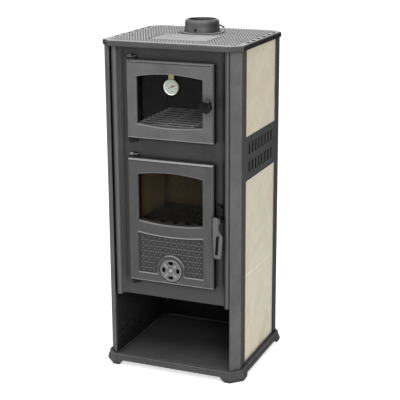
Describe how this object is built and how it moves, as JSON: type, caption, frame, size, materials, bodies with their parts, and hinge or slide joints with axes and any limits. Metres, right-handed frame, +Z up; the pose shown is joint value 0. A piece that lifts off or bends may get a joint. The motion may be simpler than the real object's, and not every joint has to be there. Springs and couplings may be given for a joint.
{
  "type": "wood stove with oven",
  "caption": "Tall free-standing wood stove: glazed oven door with dial thermometer over a glazed fire door with rotary air disc, tiled sides, open log niche and flue collar.",
  "frame": {"origin": "on the floor, under the middle of the body", "axes": "+X to the right seen from the front, +Y to the back, +Z up; the doors face -Y"},
  "size_m": [0.512, 0.467, 1.176],
  "materials": {
    "cast_paint": "satin heat paint on cast iron",
    "top_paint": "knurled light grey heat paint",
    "dark_paint": "matt black heat paint on sheet steel",
    "handle_cast": "blasted grey casting",
    "disc_cast": "ground grey casting",
    "black_iron": "blackened",
    "steel": "zinc plated",
    "bezel": "polished bezel",
    "tile": "beige glaze with faint marbling",
    "brick": "vermiculite board",
    "glass": "clear heat-proof ceramic glass",
    "lens": "clear",
    "dial": "matt pale dial",
    "needle": "red enamel",
    "knob": "black thermoset",
    "rope": "braided glass-fibre rope"
  },
  "bodies": {
    "stove": {"plinth": "cast_paint", "top_plate": "top_paint", "flue_collar": "cast_paint", "post_front_left": "cast_paint", "post_front_right": "cast_paint", "post_rear_left": "cast_paint", "post_rear_right": "cast_paint", "front_plate": "cast_paint", "side_tile_lower_left": "tile", "side_tile_lower_right": "tile", "side_tile_middle_left": "tile", "side_tile_middle_right": "tile", "side_tile_upper_left": "tile", "side_tile_upper_right": "tile", "vent_panel_left": "cast_paint", "vent_panel_right": "cast_paint", "side_lining_left": "dark_paint", "side_lining_right": "dark_paint", "niche_ceiling": "dark_paint", "rear_panel": "dark_paint", "rear_screws": "steel", "body_shell": "dark_paint", "oven_box": "dark_paint", "oven_rack": "steel", "baffle_plate": "brick", "fire_floor": "black_iron", "fire_grate": "black_iron", "brick_left": "brick", "brick_right": "brick", "brick_rear": "brick", "log_guard": "black_iron", "ash_pan": "dark_paint", "oven_door_seal": "rope", "fire_door_seal": "rope", "hinge_lugs": "cast_paint", "hinge_pins": "steel", "fire_keeper": "black_iron"},
    "damper": {"damper_plate": "black_iron", "damper_lever": "black_iron"},
    "oven_door": {"oven_door": "cast_paint", "oven_door_liner": "dark_paint", "oven_glass": "glass", "oven_glass_clips": "steel", "thermometer_case": "bezel", "thermometer_dial": "dial", "thermometer_lens": "lens"},
    "thermometer_needle": {"thermometer_needle": "needle"},
    "oven_knob": {"oven_knob": "knob", "oven_latch": "steel"},
    "fire_door": {"fire_door": "cast_paint", "fire_door_liner": "dark_paint", "fire_glass": "glass", "fire_glass_clips": "steel", "air_disc_screw": "steel"},
    "air_disc": {"air_disc": "disc_cast"},
    "fire_handle": {"fire_handle": "handle_cast", "fire_latch": "black_iron"}
  },
  "joints": [
    {"name": "fire_door_hinge", "type": "hinge", "parent": "stove", "child": "fire_door", "pos_m": [-0.141, -0.198, 0.532], "axis": [0, 0, -1], "range_deg": [0, 110]},
    {"name": "oven_door_hinge", "type": "hinge", "parent": "stove", "child": "oven_door", "pos_m": [-0.141, -0.198, 0.9405], "axis": [0, 0, -1], "range_deg": [0, 110]},
    {"name": "fire_handle_turn", "type": "hinge", "parent": "fire_door", "child": "fire_handle", "pos_m": [0.169, -0.2265, 0.56], "axis": [0, -1, 0], "range_deg": [-8, 25]},
    {"name": "air_disc_turn", "type": "hinge", "parent": "fire_door", "child": "air_disc", "pos_m": [0, -0.211, 0.37], "axis": [0, -1, 0], "range_deg": [0, 45]},
    {"name": "oven_knob_turn", "type": "hinge", "parent": "oven_door", "child": "oven_knob", "pos_m": [0.134, -0.231, 0.939], "axis": [0, -1, 0], "range_deg": [0, 90]},
    {"name": "thermometer_needle_turn", "type": "hinge", "parent": "oven_door", "child": "thermometer_needle", "pos_m": [0, -0.188, 0.987], "axis": [0, -1, 0], "range_deg": [-120, 120], "stiffness_Nm_per_rad": 0.0002},
    {"name": "damper_turn", "type": "hinge", "parent": "stove", "child": "damper", "pos_m": [0, 0.075, 1.144], "axis": [0, -1, 0], "range_deg": [0, 90]}
  ]
}
